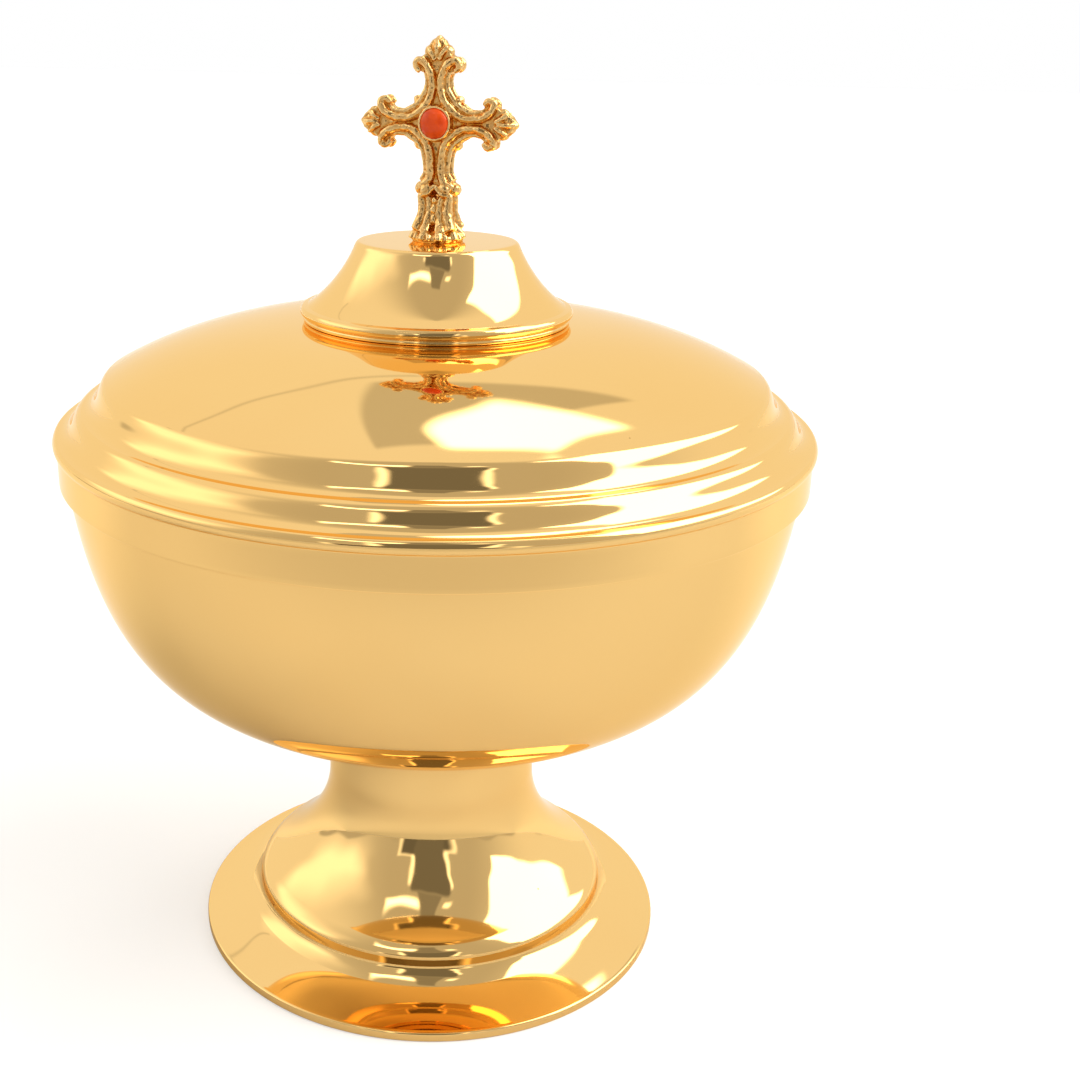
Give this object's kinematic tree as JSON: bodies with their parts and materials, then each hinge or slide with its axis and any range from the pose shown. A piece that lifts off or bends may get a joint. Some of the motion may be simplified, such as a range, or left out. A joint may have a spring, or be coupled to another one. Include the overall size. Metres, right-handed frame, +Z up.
{
  "type": "ciborium",
  "caption": "Gilt footed cup with a lift-off domed lid. A flared base on the lid carries a cast cross with a round red stone. It holds altar bread.",
  "frame": {"origin": "middle of the foot's underside, on the surface that it stands on", "axes": "+Z up along the cup's axis; the cross spans X and its stone faces -Y"},
  "size_m": [0.1212, 0.1212, 0.15],
  "materials": {
    "gilt_sheet": "mirror-polished gilding",
    "gilt_casting": "gilt casting, bright on its high points",
    "red_stone": "polished opaque cabochon",
    "plain_brass": "plain, as turned"
  },
  "bodies": {
    "cup": {"foot_shell": "gilt_sheet", "bowl_shell": "gilt_sheet", "bowl_stud": "plain_brass", "foot_washer": "plain_brass", "foot_nut": "plain_brass"},
    "lid": {"lid_shell": "gilt_sheet", "finial_base": "gilt_sheet", "finial_cross": "gilt_casting", "red_stone": "red_stone", "finial_stud": "plain_brass", "finial_washer": "plain_brass", "finial_nut": "plain_brass"}
  },
  "joints": [
    {"name": "lid_lift", "type": "slide", "parent": "cup", "child": "lid", "axis": [0, 0, 1], "range_m": [0, 0.12]}
  ]
}
